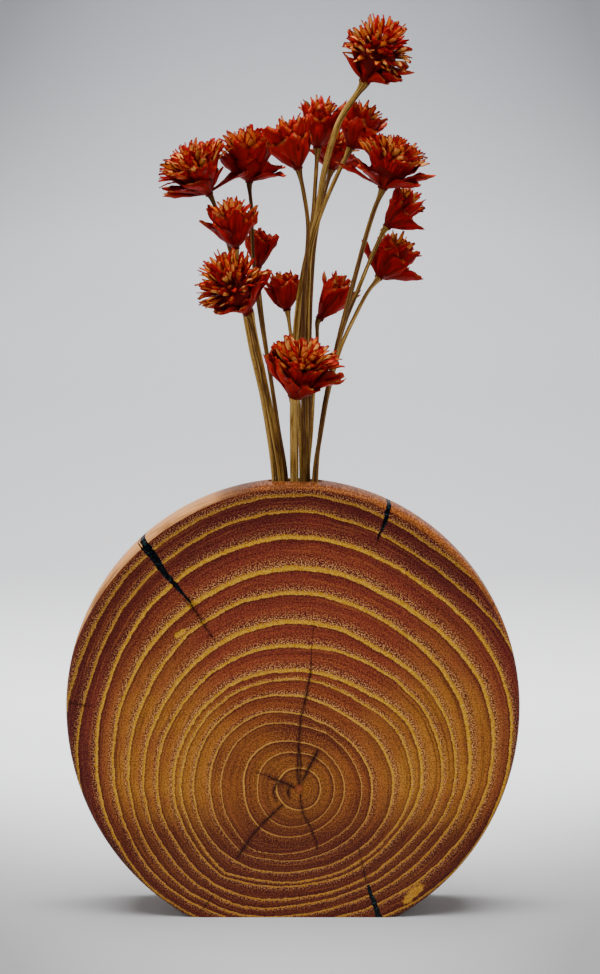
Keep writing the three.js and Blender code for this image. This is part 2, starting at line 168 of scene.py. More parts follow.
# The flowers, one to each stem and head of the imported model. The spot is given as shares of the bore's
# radius, and thickness is the stem's. Aim is the way the head looks, radius and height are its size,
# and open is how far it has opened. The route's points are measured from the middle of the mouth, and
# its last is where the head sits. Outer are the broad bracts: the turn round the head from the right,
# the tilt away from aim at the foot and at the tip, the length and the width.
Flower = namedtuple("Flower", "spot thickness aim radius height open route outer")
FLOWERS = (
    Flower((-0.09, 0.02), 3.0, (0.42, -0.12, 0.9), 16.5, 30, 1.0,
           ((-1.2, -0.5, 36), (0.6, -1.0, 73), (3.9, -1.0, 96), (9.4, -2.4, 119), (13.4, -5.5, 142),
            (20.3, -8.0, 164), (31.3, -9.0, 181)),
           ((180, 50, 38, 26, 8), (195, 70, 60, 17, 7), (225, 38, 25, 11, 8), (345, 54, 56, 24, 8),
            (325, 62, 70, 22, 9), (305, 72, 88, 17, 7), (40, 70, 80, 15, 7), (90, 60, 70, 14, 7),
            (130, 60, 60, 14, 7))),
    Flower((-0.66, 0.27), 2.2, (-0.47, -0.22, 0.85), 16.5, 25, 0.78,
           ((-14.8, 3.2, 36), (-19.2, 4.0, 59), (-24.1, 4.5, 82), (-28.7, 4.8, 100), (-33.7, 4.5, 117),
            (-39.6, 2.0, 131)),
           ((300, 38, 25, 17, 9), (235, 48, 30, 15, 9), (185, 62, 62, 19, 6), (200, 50, 48, 20, 7),
            (0, 50, 45, 12, 6), (150, 60, 60, 14, 7), (60, 60, 50, 13, 7), (110, 50, 50, 13, 7),
            (20, 92, 104, 22, 7), (265, 40, 30, 11, 7))),
    Flower((-0.41, 0.0), 2.1, (0.03, -0.05, 1.0), 15.0, 25, 0.5,
           ((-9.4, 2.8, 32), (-13.0, 5.5, 55), (-16.8, 8.0, 78), (-19.6, 9.5, 102), (-20.3, 10.0, 124),
            (-21.3, 10.5, 137)),
           ((165, 48, 24, 19, 8), (192, 52, 32, 19, 8), (350, 62, 58, 15, 9), (330, 78, 95, 15, 6),
            (250, 35, 15, 14, 8), (290, 34, 14, 13, 9), (60, 50, 40, 13, 8), (110, 50, 40, 13, 8))),
    Flower((0.31, -0.35), 2.4, (-0.24, -0.12, 0.96), 11.5, 24, 0.2,
           ((3.5, -5.6, 36), (3.5, -7.2, 73), (4.7, -8.2, 96), (5.7, -8.5, 116), (3.5, -9.4, 132),
            (1.2, -10.5, 142)),
           ((270, 45, 0, 17, 9), (330, 45, 5, 16, 8), (30, 45, 5, 16, 8), (90, 45, 5, 16, 8),
            (150, 45, 5, 16, 8), (210, 55, 25, 15, 8))),
    Flower((0.0, 0.36), 2.4, (0.07, 0.06, 1.0), 11.5, 24, 0.3,
           ((0.5, 6.8, 36), (2.0, 9.0, 68), (4.4, 10.8, 96), (7.8, 12.2, 119), (9.2, 13.5, 137),
            (10.2, 14.8, 153)),
           ((180, 55, 25, 15, 8), (240, 45, 5, 15, 9), (300, 45, 10, 15, 8), (0, 50, 20, 15, 8),
            (60, 45, 10, 15, 8), (120, 45, 10, 15, 8))),
    Flower((0.46, -0.02), 2.4, (0.42, 0.18, 0.89), 12.0, 22, 0.35,
           ((4.9, -1.5, 36), (5.3, -2.5, 64), (5.8, -4.0, 87), (7.2, -5.6, 107), (12.1, -6.6, 123),
            (19.4, -3.6, 140), (25.2, 0.0, 152)),
           ((200, 50, 10, 14, 6), (260, 50, 0, 14, 8), (320, 60, 30, 15, 8), (0, 70, 50, 15, 8),
            (60, 50, 20, 14, 8), (130, 50, 20, 14, 8), (340, 80, 100, 15, 6))),
    Flower((0.38, 0.34), 2.4, (0.25, 0.22, 0.94), 11.0, 19, 0.55,
           ((6.2, 5.6, 36), (6.6, 7.0, 68), (7.4, 10.0, 91), (9.6, 18.0, 114), (13.6, 26.0, 133),
            (16.8, 32.0, 144)),
           ((180, 65, 60, 13, 8), (230, 60, 70, 13, 9), (300, 60, 70, 14, 9), (0, 65, 60, 14, 8),
            (60, 50, 30, 12, 8), (120, 50, 30, 12, 8))),
    Flower((0.67, -0.35), 2.7, (0.3, -0.1, 0.95), 17.5, 24, 0.74,
           ((11.6, -6.2, 22), (16.4, -7.5, 50), (21.8, -9.0, 73), (26.6, -10.0, 91), (31.4, -10.8, 109),
            (35.7, -11.2, 123), (39.6, -11.5, 133)),
           ((180, 80, 75, 19, 6), (215, 60, 60, 14, 8), (265, 40, 10, 15, 10), (320, 65, 60, 16, 8),
            (345, 55, 45, 21, 8), (20, 60, 60, 15, 8), (70, 50, 50, 13, 7), (130, 55, 50, 13, 7),
            (160, 60, 40, 15, 4))),
    Flower((0.75, -0.03), 2.3, (0.62, 0.2, 0.76), 9.5, 21, 0.35,
           ((12.0, -1.5, 27), (17.6, -2.4, 55), (23.0, -3.0, 73), (28.6, -2.8, 87), (35.2, -0.8, 103),
            (42.0, 2.0, 116)),
           ((180, 45, 5, 14, 6), (240, 40, 0, 13, 7), (300, 60, 45, 14, 7), (335, 64, 58, 17, 7),
            (20, 55, 40, 13, 6), (80, 50, 20, 13, 7), (130, 45, 10, 13, 7))),
    Flower((0.72, 0.31), 2.3, (0.55, 0.3, 0.78), 12.5, 23, 0.4,
           ((11.5, 4.2, 20), (15.4, 4.2, 41), (21.0, 4.2, 61), (27.4, 5.0, 75), (33.2, 6.4, 86),
            (38.6, 9.0, 93)),
           ((180, 60, 52, 17, 8), (215, 50, 10, 15, 8), (270, 50, 15, 14, 10), (310, 60, 40, 14, 9),
            (350, 64, 52, 18, 7), (30, 60, 40, 14, 7), (90, 50, 30, 14, 8), (140, 50, 25, 14, 8))),
    Flower((0.44, 0.63), 2.2, (0.52, 0.16, 0.84), 9.5, 23, 0.15,
           ((7.3, 9.4, 22), (8.6, 11.8, 45), (10.0, 14.2, 64), (11.3, 16.0, 74)),
           ((180, 40, -10, 17, 8), (230, 40, 0, 18, 9), (280, 50, 10, 17, 9), (325, 42, 28, 19, 9),
            (350, 36, 22, 21, 8), (40, 45, 10, 15, 7), (110, 40, 0, 16, 8))),
    Flower((0.2, -0.03), 2.1, (-0.18, 0.05, 0.98), 8.0, 18, 0.15,
           ((1.9, 1.8, 27), (0.4, 3.2, 50), (-2.4, 5.2, 68), (-3.9, 6.4, 78)),
           ((180, 50, 15, 14, 7), (240, 45, 5, 14, 8), (300, 45, 5, 14, 8), (0, 45, 10, 14, 7),
            (60, 45, 5, 14, 7), (120, 45, 5, 14, 7))),
    Flower((-0.04, -0.35), 3.9, (0.2, -0.34, 0.92), 16.0, 26, 0.64,
           ((-0.5, -9.5, 16), (-0.4, -14.5, 29), (0.0, -19.0, 39)),
           ((270, 30, 12, 13, 9), (185, 44, 38, 22, 8), (208, 42, 28, 20, 9), (165, 44, 34, 20, 8),
            (345, 52, 46, 22, 9), (10, 54, 46, 21, 8), (240, 38, 22, 14, 8), (308, 46, 44, 14, 8),
            (60, 50, 40, 15, 8), (120, 50, 40, 15, 8))),
    Flower((-0.52, -0.35), 3.1, (-0.48, -0.4, 0.78), 17.0, 30, 0.93,
           ((-9.9, -6.0, 22), (-13.8, -8.4, 43), (-17.8, -11.2, 62), (-21.6, -14.4, 77)),
           ((190, 52, 60, 24, 8), (222, 56, 60, 21, 9), (258, 62, 54, 14, 9), (300, 56, 46, 14, 9),
            (340, 54, 52, 22, 8), (8, 58, 60, 24, 8), (25, 50, 50, 22, 7), (60, 50, 30, 16, 7),
            (120, 60, 50, 15, 7), (155, 66, 70, 15, 7))),
    Flower((-0.8, -0.06), 2.1, (-0.12, -0.14, 0.98), 11.5, 23, 0.35,
           ((-15.2, 0.0, 36), (-20.6, -0.4, 60), (-24.2, -1.6, 81), (-26.0, -4.6, 96),
            (-27.2, -8.4, 106)),
           ((180, 40, 28, 18, 7), (215, 45, 10, 15, 7), (265, 40, -5, 15, 8), (320, 45, 15, 15, 7),
            (0, 42, 30, 18, 7), (60, 45, 15, 14, 7), (120, 45, 15, 14, 7))),
    Flower((-0.33, 0.35), 2.0, (0.06, 0.14, 0.99), 7.5, 18, 0.1,
           ((-7.6, 6.8, 22), (-10.8, 9.6, 43), (-14.6, 13.4, 68), (-16.6, 16.4, 85), (-17.4, 18.4, 98)),
           ((200, 40, 5, 14, 6), (260, 40, 0, 14, 7), (320, 40, 5, 14, 6), (20, 40, 10, 13, 6),
            (80, 40, 5, 13, 6), (140, 40, 5, 13, 6))),
)

# Heads more open than the first are balls of florets, and those less open than the second are buds
BALL_OPENNESS = 0.9
WIDE_OPENNESS = 0.6

# The stem's flare below the head, how far the head laps over the stem, the stem's straight end, and
# how far forward a head may reach before it is pressed back
RECEPTACLE_LENGTH = 7
RECEPTACLE_FLARE = 1.7
NECK_LAP = 0.7
UNDER_HEAD = 2.0
FRONT_REACH = -37.5

# What a point that carries a blade says about it
BLADE_VALUES = ("turn", "start", "finish", "length", "width", "base", "rise", "tint", "slim", "twist")

# The kinds of ray that see the floor and backdrop lighter than the panels make them
RAY_KINDS = ("Is Camera Ray", "Is Glossy Ray", "Is Transmission Ray")


def paint(red, green, blue):
    """A colour as it looks on a screen, 0 to 255, as the linear values that nodes take."""
    def linear(value):
        share = value / 255
        return share / 12.92 if share <= 0.04045 else ((share + 0.055) / 1.055) ** 2.4
    return (linear(red), linear(green), linear(blue), 1)


def grey(level):
    return (level, level, level, 1)


def operation(name, swapped=False):
    """A method that joins a value to others by one math node."""
    def run(self, *others):
        values = (self, *others)
        return self.work.math(name, *(values[::-1] if swapped else values))
    return run


class Value:
    """An output of a node. Sums with it add nodes to the same tree."""

    def __init__(self, work, socket):
        self.work = work
        self.socket = socket

    __add__ = __radd__ = operation("ADD")
    __mul__ = __rmul__ = operation("MULTIPLY")
    __sub__ = operation("SUBTRACT")
    __rsub__ = operation("SUBTRACT", swapped=True)
    __truediv__ = operation("DIVIDE")
    __pow__ = operation("POWER")
    __abs__ = operation("ABSOLUTE")
    __lt__ = operation("LESS_THAN")
    __gt__ = operation("GREATER_THAN")
    at_least = operation("MAXIMUM")
    at_most = operation("MINIMUM")
    root = operation("SQRT")
    fraction = operation("FRACT")
    sine = operation("SINE")
    cosine = operation("COSINE")

    def step(self, low, high, first=0.0, last=1.0):
        """Runs smoothly from first to last while the value goes from low to high."""
        sockets = {"Value": self, "From Min": low, "From Max": high, "To Min": first, "To Max": last}
        return self.work.get("ShaderNodeMapRange", sockets, interpolation_type="SMOOTHSTEP")


class NodeWork:
    """Adds nodes to one tree. An input is a number, a tuple or a Value."""

    def __init__(self, tree):
        self.tree = tree

    def feed(self, node, inputs):
        for key, value in inputs.items():
            if isinstance(value, Value):
                self.tree.links.new(value.socket, node.inputs[key])
            else:
                node.inputs[key].default_value = value

    def add(self, kind, inputs=None, **settings):
        node = self.tree.nodes.new(kind)
        for key, value in settings.items():
            setattr(node, key, value)
        self.feed(node, inputs or {})
        return node

    def get(self, kind, inputs=None, output=0, **settings):
        """One output of a new node."""
        return Value(self, self.add(kind, inputs, **settings).outputs[output])

    def several(self, kind, outputs, inputs=None):
        """Some outputs of one new node."""
        node = self.add(kind, inputs)
        return [Value(self, node.outputs[name]) for name in outputs]

    def math(self, kind, *values):
        return self.get("ShaderNodeMath", dict(enumerate(values)), operation=kind)

    def vector(self, kind, *values):
        output = 1 if kind in ("LENGTH", "DISTANCE", "DOT_PRODUCT") else 0
        return self.get("ShaderNodeVectorMath", dict(enumerate(values)), output, operation=kind)

    def scaled(self, place, factor):
        return self.get("ShaderNodeVectorMath", {0: place, 3: factor}, operation="SCALE")

    def combine(self, x, y, z=0.0):
        return self.get("ShaderNodeCombineXYZ", {0: x, 1: y, 2: z})

    def mix(self, share, first, second, blend="MIX"):
        sockets = {0: share, 6: first, 7: second}
        return self.get("ShaderNodeMix", sockets, 2, data_type="RGBA", blend_type=blend)

    def coats(self, colour, *layers):
        """Lays colours over a first one, each with the share of it that covers."""
        for share, over in layers:
            colour = self.mix(share, colour, over)
        return colour

    def ramp(self, share, stops):
        node = self.add("ShaderNodeValToRGB", {0: share})
        elements = node.color_ramp.elements
        while len(elements) < len(stops):
            elements.new(0.5)
        for element, (place, colour) in zip(elements, stops):
            element.position = place
            element.color = colour
        return Value(self, node.outputs[0])

    def noise(self, place, scale, detail=2.0, roughness=0.5):
        sockets = {"Vector": place, "Scale": scale, "Detail": detail, "Roughness": roughness}
        return self.get("ShaderNodeTexNoise", sockets)

    def attribute(self, name):
        return self.get("ShaderNodeAttribute", output="Fac", attribute_name=name)

    def bump(self, strength, height):
        return self.get("ShaderNodeBump", {"Strength": strength, "Distance": 0.2 * MM, "Height": height})

    def place_in_mm(self):
        place = self.get("ShaderNodeTexCoord", output="Object")
        return self.vector("MULTIPLY", place, (1 / MM, 1 / MM, 1 / MM))


def new_material(name):
    """An empty material and the node work to fill it, with its shader."""
    material = bpy.data.materials.new(name)
    material.use_nodes = True
    shader = material.node_tree.nodes["Principled BSDF"]
    return material, NodeWork(material.node_tree), shader


def new_object(name, data):
    made = bpy.data.objects.new(name, data)
    bpy.context.scene.collection.objects.link(made)
    return made


def mesh_object(name, points, faces, unit=MM):
    mesh = bpy.data.meshes.new(name)
    mesh.from_pydata((np.array(points, float) * unit).tolist(), [], faces)
    mesh.validate()
    return new_object(name, mesh)


def turned(profile, turns, centre=0):
    """The points of a profile turned about an upright axis, ring by ring."""
    points = []
    for radius, z in profile:
        for i in range(turns):
            turn = 2 * math.pi * i / turns
            points.append((centre + radius * math.cos(turn), radius * math.sin(turn), z))
    return points


def spindle_faces(turns, last):
    """Faces round a body that runs from a first point through rings of points to a last one."""
    faces = []
    end = last - turns
    for i in range(turns):
        after = (i + 1) % turns
        faces.append((0, 1 + after, 1 + i))
        faces.append((last, end + i, end + after))
        for low in range(1, end, turns):
            faces.append((low + i, low + after, low + turns + after, low + turns + i))
    return faces


def tube_faces(count, spans):
    """Faces round a body that runs from one flat end to the other, through rows of count points."""
    faces = [tuple(range(count)), tuple(reversed(range(spans * count, (spans + 1) * count)))]
    for low in range(0, spans * count, count):
        for i in range(count):
            after = (i + 1) % count
            faces.append((low + i, low + count + i, low + count + after, low + after))
    return faces


def store_values(mesh, name, values):
    attribute = mesh.attributes.get(name) or mesh.attributes.new(name, "FLOAT", "POINT")
    attribute.data.foreach_set("value", np.asarray(values, np.float32))


def plain_mesh(piece):
    """A piece's mesh as its modifiers make it."""
    depsgraph = bpy.context.evaluated_depsgraph_get()
    return bpy.data.meshes.new_from_object(piece.evaluated_get(depsgraph), depsgraph=depsgraph)


def settle(piece, *spent):
    """Turns a piece with modifiers into a plain mesh, and removes the objects that were used up on it."""
    made = plain_mesh(piece)
    made.name = piece.name
    piece.modifiers.clear()
    piece.data = made
    for other in spent:
        bpy.data.objects.remove(other)
    return piece


def cut(piece, tool, kind="DIFFERENCE"):
    modifier = piece.modifiers.new("cut", "BOOLEAN")
    modifier.operation = kind
    modifier.solver = "EXACT"
    modifier.object = tool


def corners(mesh):
    """A mesh's vertices as rows of an array, in millimetres."""
    flat = np.empty(len(mesh.vertices) * 3)
    mesh.vertices.foreach_get("co", flat)
    return flat.reshape(-1, 3) / MM


def dress(piece, body, slot, material, *nodes):
    """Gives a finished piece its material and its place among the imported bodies."""
    if piece.data.materials:
        piece.data.materials[0] = material
    else:
        piece.data.materials.append(material)
    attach(piece, body)
    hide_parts(*nodes)


# Camera


def set_camera():
    """The photograph's view: level with the upper stems, looking slightly down."""
    data = bpy.data.cameras.new("front_view")
    data.sensor_width = SENSOR_WIDTH
    data.lens = LENS
    camera = new_object("front_view", data)
    camera.location = [x * MM for x in CAMERA_PLACE]
    camera.rotation_euler = (math.radians(90 - LOOK_DOWN), 0, 0)
    bpy.context.scene.camera = camera


# The slice of wood


def rim_reach(turn):
    """How far the rim is from the middle of the widest level, clockwise from straight up."""
    upright = np.where(np.cos(turn) > 0, RISE_TO_TOP, DROP_UNCUT)
    return 1 / np.hypot(np.sin(turn) / (SLICE_WIDTH / 2), np.cos(turn) / upright)


def outline_from_pith(turn, inset, halvings=40):
    """How far the outline, pulled in by inset, is from the pith. Found by halving the interval."""
    near = np.zeros_like(turn)
    far = np.full_like(turn, 2.0 * SLICE_WIDTH)
    for _ in range(halvings):
        middle = (near + far) / 2
        x = PITH[0] + middle * np.sin(turn)
        z = PITH[1] + middle * np.cos(turn) - WIDEST_LEVEL
        inside = np.hypot(x, z) < rim_reach(np.arctan2(x, z)) - inset
        near = np.where(inside, middle, near)
        far = np.where(inside, far, middle)
    downward = np.minimum(np.cos(turn), -1e-6)
    to_foot = np.where(np.cos(turn) < 0, PITH[1] / -downward, np.inf)
    return np.minimum(near, to_foot)


def rim_rows(round_steps=6, crown_steps=5):
    """The rim's section from the front face to the back: inset from the crown, place across."""
    half = THICKNESS / 2
    rows = []
    for i in range(round_steps + 1):
        turn = math.pi / 2 * i / round_steps
        inset = RIM_CROWN + EDGE_ROUND * (1 - math.sin(turn))
        rows.append((inset, -half + EDGE_ROUND * (1 - math.cos(turn))))
    start = rows[-1][1]
    for i in range(1, crown_steps):
        share = i / crown_steps
        y = start * (1 - share)
        rows.append((RIM_CROWN * (y / start) ** 2, y))
    return rows + [(0.0, 0.0)] + [(inset, -y) for inset, y in reversed(rows)]


def slice_blank(name, turns, face_rows):
    """The slice without its bore and cracks, in rings of points round the pith from front to back."""
    turn = np.linspace(0, 2 * math.pi, turns, endpoint=False)
    reaches = [(outline_from_pith(turn, inset), y) for inset, y in rim_rows()]
    front, back = reaches[0], reaches[-1]
    inner = [(front[0] * i / face_rows, front[1]) for i in range(1, face_rows)]
    outer = [(back[0] * i / face_rows, back[1]) for i in range(face_rows - 1, 0, -1)]
    rings = inner + reaches + outer
    points = [(PITH[0], front[1], PITH[1])]
    for reach, y in rings:
        x = PITH[0] + reach * np.sin(turn)
        z = PITH[1] + reach * np.cos(turn)
        points.extend(zip(x, np.full(turns, y), z))
    points.append((PITH[0], back[1], PITH[1]))
    return mesh_object(name, points, spindle_faces(turns, len(points) - 1))


def growth_at(points):
    """For points of the slice, their age in rings from the pith, and the width of the ring they lie in."""
    share = (points[:, 1] + THICKNESS / 2) / THICKNESS
    x = points[:, 0] - PITH[0] - PITH_WANDER[0] * share
    z = points[:, 2] - PITH[1] - PITH_WANDER[1] * share
    reach = np.hypot(x, z)
    angle = (np.degrees(np.arctan2(x, z)) - SPOKES[0]) % 360 + SPOKES[0]
    knots = np.array(SPOKES, float)
    gaps = np.diff(knots)
    span = np.clip(np.searchsorted(knots, angle, side="right") - 1, 0, len(gaps) - 1)
    s = (angle - knots[span]) / gaps[span]
    edges = [np.zeros(len(points))]
    for row in RINGS:
        value = np.array(row + row[:1], float)
        rise = np.diff(value) / gaps
        inner = (gaps[1:] * rise[:-1] + gaps[:-1] * rise[1:]) / (gaps[1:] + gaps[:-1])
        slope = np.concatenate([rise[:1], inner, rise[-1:]])
        edges.append(
            (2 * s**3 - 3 * s**2 + 1) * value[span] + (s**3 - 2 * s**2 + s) * gaps[span] * slope[span]
            + (3 * s**2 - 2 * s**3) * value[span + 1] + (s**3 - s**2) * gaps[span] * slope[span + 1])
    for _ in range(2):
        edges.append(edges[-1] + OUTER_RING_WIDTH)
    age = np.zeros(len(points))
    width = np.full(len(points), float(OUTER_RING_WIDTH))
    for k in range(len(edges) - 1):
        gap = edges[k + 1] - edges[k]
        within = (reach >= edges[k]) & (reach < edges[k + 1])
        age = np.where(within, k + (reach - edges[k]) / gap, age)
        width = np.where(within, gap, width)
    return age, width


def bore_tool(turns=96, above=6):
    """The drill's shape with the eased mouth, turned about the bore's axis."""
    profile = ((BORE_RADIUS, VASE_HEIGHT - BORE_DEPTH), (BORE_RADIUS, VASE_HEIGHT - MOUTH_EASE),
               (BORE_RADIUS + MOUTH_EASE + above, VASE_HEIGHT + above))
    faces = [tuple(reversed(range(turns))), tuple(range(2 * turns, 3 * turns))]
    for low in (0, turns):
        for i in range(turns):
            after = (i + 1) % turns
            faces.append((low + i, low + after, low + turns + after, low + turns + i))
    return mesh_object("bore_tool", turned(profile, turns, BORE_OFFSET), faces)


def crack_tool(name, angle, fissures, seed, step=0.9):
    """A prism for each fissure of a crack, through the whole thickness, with slightly ragged edges."""
    rough = random.Random(seed)
    turn = math.radians(angle)
    outward = np.array([math.sin(turn), math.cos(turn)])
    sideways = np.array([outward[1], -outward[0]])
    reach = float(rim_reach(np.array(turn)))
    if outward[1] < 0:
        reach = min(reach, WIDEST_LEVEL / -outward[1])
    start = outward * reach + np.array([0, WIDEST_LEVEL])
    half = THICKNESS / 2 + CRACK_OVERRUN
    prisms = []
    for stations in fissures:
        known, *edges = zip(*stations)
        depths = np.arange(known[0], known[-1], step)
        left, right = [np.interp(depths, known, edge) for edge in edges]
        tear = np.clip((right - left) * 0.14, 0.05, 0.35)
        left = left + tear * np.array([rough.uniform(-1, 1) for _ in depths])
        right = right + tear * np.array([rough.uniform(-1, 1) for _ in depths])
        right = np.maximum(right, left + CRACK_LEAST_WIDTH)
        edge = list(zip(depths, left)) + list(zip(depths[::-1], right[::-1]))
        points = []
        for y in (-half, half):
            for depth, side in edge:
                spot = start - outward * depth + sideways * side
                points.append((spot[0], y, spot[1]))
        prisms.append(mesh_object(name, points, tube_faces(len(edge), 1)))
    for other in prisms[1:]:
        cut(prisms[0], other, "UNION")
    return settle(*prisms)


def ring_places(work):
    """Where a point of the slice lies: in the grain, from the pith and within its ring, in millimetres."""
    wood = SimpleNamespace(age=work.attribute("age"), width=work.attribute("ring_width"))
    wood.place = work.place_in_mm()
    wood.grain = work.vector("MULTIPLY", wood.place, (1, 0.05, 1))
    wood.flat = work.vector("MULTIPLY", wood.place, (1, 0, 1))
    wood.from_pith = work.vector("SUBTRACT", wood.flat, (PITH[0], 0, PITH[1]))
    wood.reach = work.vector("LENGTH", wood.from_pith)
    wood.x, _, wood.z = work.several("ShaderNodeSeparateXYZ", "XYZ", {0: wood.from_pith})
    wood.low = wood.z.step(4.0, -26.0)
    wood.patch = work.noise(wood.grain, 0.04, 3, 0.6)
    wood.speck = work.noise(wood.grain, 1.5, 0.6, 0.6)
    wood.fine = work.noise(work.vector("ADD", wood.grain, (40, 0, 70)), 1.65, 0.6, 0.6)

    # The rings' edges waver a little, less so round the heart
    wave = work.noise(wood.grain, 0.07, 2) - 0.5
    wood.ragged = work.noise(wood.grain, 0.6, 2) - 0.5
    wood.calm = wood.age.step(3.5, 8.0, 0.06, 1.0)
    wood.years = wood.age + (wave * 1.8 + wood.ragged * wood.calm * 0.9) / wood.width
    wood.share = wood.years.fraction()
    wood.outward = wood.share * wood.width

    # The pale band is wide in wide rings, and a thin line round the heart
    maturity = wood.age.step(3.5, 8.0, 0.62, 1.0)
    wood.band = (wood.width * 0.16 - 0.2).at_least(0.75) * maturity * (wood.low * -0.2 + 1.0)
    return wood


def brown_wood(work, wood):
    """Browns from the heart to the bark: golden at both sides, redder above, darker below."""
    drift = (wood.patch - 0.5) * 3.5 + wood.age
    brown = work.ramp(drift / 15, (
        (0.0, paint(142, 90, 24)), (0.22, paint(140, 80, 24)), (0.42, paint(140, 62, 32)),
        (0.62, paint(146, 58, 40)), (0.84, paint(134, 50, 40)), (0.95, paint(84, 28, 32))))
    aside = abs(wood.x) / wood.reach.at_least(1.0)
    golden = aside.step(0.5, 0.97) * wood.reach.step(26.0, 50.0)
    golden = golden * wood.age.step(11.0, 13.6, 1.0, 0.0) * wood.patch.step(0.28, 0.6, 0.35, 1.0)
    brown = work.coats(brown, (golden, paint(200, 136, 46)), (wood.low * 0.9, paint(74, 24, 16)))
    for spot_x, spot_z, size, strength in DARK_PATCHES:
        away = work.vector("DISTANCE", wood.from_pith, (spot_x, 0, spot_z))
        brown = work.mix(away.step(size * 0.2, size * 1.2, strength, 0.0), brown, paint(84, 30, 18))

    # Each ring ends darker, and has fainter layers within it
    layers = work.noise(work.combine(wood.years * 11.0, wood.x * 0.02, wood.z * 0.02), 1.0, 2, 0.7)
    brown = work.coats(
        brown,
        (wood.share.step(0.35, 1.0) * 0.3, paint(92, 26, 22)),
        ((wood.width - wood.outward).step(1.2, 0.2, 0.0, 0.6), paint(66, 16, 18)),
        (layers.step(0.5, 0.34, 0.0, 0.6), paint(78, 22, 20)),
        (layers.step(0.52, 0.7, 0.0, 0.5), paint(180, 100, 46)))

    # Pores: dark and tan specks, strongest just outside the pale band
    belt = wood.width * wood.age.step(2.5, 7.0, 0.12, 0.36)
    near = ((wood.outward - wood.band) / belt).step(0.0, 1.2, 1.0, 0.0)
    near = near * wood.age.step(2.5, 7.0, 0.3, 1.0)
    early = wood.share.step(0.9, 0.3, 0.5, 1.0) * wood.age.step(12.4, 13.6, 1.0, 0.55)
    dark = wood.speck.step(0.54, 0.42) * (near * 0.4 + 0.52)
    light = wood.fine.step(0.51, 0.6) * (near * 0.5 + 0.45) * early * (wood.low * -0.45 + 1.0)
    return work.coats(
        brown, (near * 0.6, paint(86, 26, 34)), (dark, paint(38, 8, 10)),
        (light, work.mix(near, paint(212, 124, 52), paint(234, 174, 100))))


def add_pale_wood(work, wood, brown):
    """The early wood: a band at the start of each ring, and two odd patches."""
    yellow = work.mix(wood.speck.step(0.42, 0.6), paint(194, 134, 24), paint(232, 182, 54))
    yellow = work.mix(wood.age.step(2.5, 8.0), paint(206, 150, 58), yellow)
    yellow = work.mix(wood.low * 0.35, yellow, paint(160, 96, 40))
    past_band = (wood.speck - 0.5) * wood.calm * 3.6 + wood.outward - wood.band
    pale = past_band.step(-0.2, wood.calm * 0.4 + 0.1, 1.0, 0.0)
    pale = pale * wood.outward.step(0.0, 0.25) * wood.age.step(13.6, 14.4, 1.0, 0.45)
    colour = work.mix(pale, brown, yellow)
    loose = work.noise(wood.flat, 0.5, 2) * 1.4 - 0.7
    for spot_x, spot_z, long, short, lean in PALE_PATCHES:
        sine, cosine = math.sin(lean), math.cos(lean)
        away = work.vector("SUBTRACT", wood.from_pith, (spot_x, 0, spot_z))
        lengthwise = work.vector("DOT_PRODUCT", away, (cosine / long, 0, sine / long))
        crosswise = work.vector("DOT_PRODUCT", away, (-sine / short, 0, cosine / short))
        far = (lengthwise * lengthwise + crosswise * crosswise).root()
        colour = work.mix((far + loose).step(0.7, 1.1, 0.85, 0.0), colour, yellow)
    return colour


def add_rim(work, wood, colour):
    """The wood under the bark, which reaches a little onto the faces above and to the left.
    It carries painted shade towards its bottom, and its pale upper left is sapwood and partly a painted
    reflection.
    """
    from_middle = work.vector("SUBTRACT", wood.flat, (0, 0, WIDEST_LEVEL))
    _, _, over = work.several("ShaderNodeSeparateXYZ", "XYZ", {0: from_middle})
    squash = (over > 0.0) * (1 / RISE_TO_TOP - 1 / DROP_UNCUT) + 1 / DROP_UNCUT
    oval = work.vector("MULTIPLY", from_middle, work.combine(2 / SLICE_WIDTH, 0.0, squash))
    depth = (1.0 - work.vector("LENGTH", oval)) * (SLICE_WIDTH / 2)
    toward = work.vector("NORMALIZE", from_middle)
    _, _, upward = work.several("ShaderNodeSeparateXYZ", "XYZ", {0: toward})
    rim_width = upward.step(0.1, 0.75, 0.6, 3.5) + wood.ragged * 0.4 - upward.step(0.85, 1.0, 0.0, 0.7)
    streaks = work.noise(work.vector("MULTIPLY", wood.place, (0.05, 0.5, 0.05)), 1.2, 3, 0.6)
    # The rim is pale towards the upper left: sapwood, and partly a painted reflection of the light
    sap_and_reflection = work.vector("DOT_PRODUCT", toward, (-0.72, 0, 0.69))
    bark_left = work.vector("DISTANCE", from_middle, (-26.0, 0, 99.0)) + wood.ragged * 8.0
    bark_side = work.coats(
        work.mix(wood.fine.step(0.46, 0.58), paint(116, 56, 20), paint(180, 110, 46)),
        # Painted shade: the rim darkens from its sides towards the bottom
        (upward.step(0.3, -0.3, 0.0, 0.7), paint(112, 58, 26)),
        (sap_and_reflection.step(0.8, 0.96), paint(228, 162, 94)),
        (streaks.step(0.48, 0.66, 0.0, 0.55), paint(104, 60, 30)),
        (bark_left.step(4.0, 13.0, 0.6, 0.0), paint(66, 40, 26)))
    on_rim = (depth - rim_width).step(-0.15, 0.25, 0.9, 0.0)
    return work.mix(on_rim, colour, bark_side), on_rim


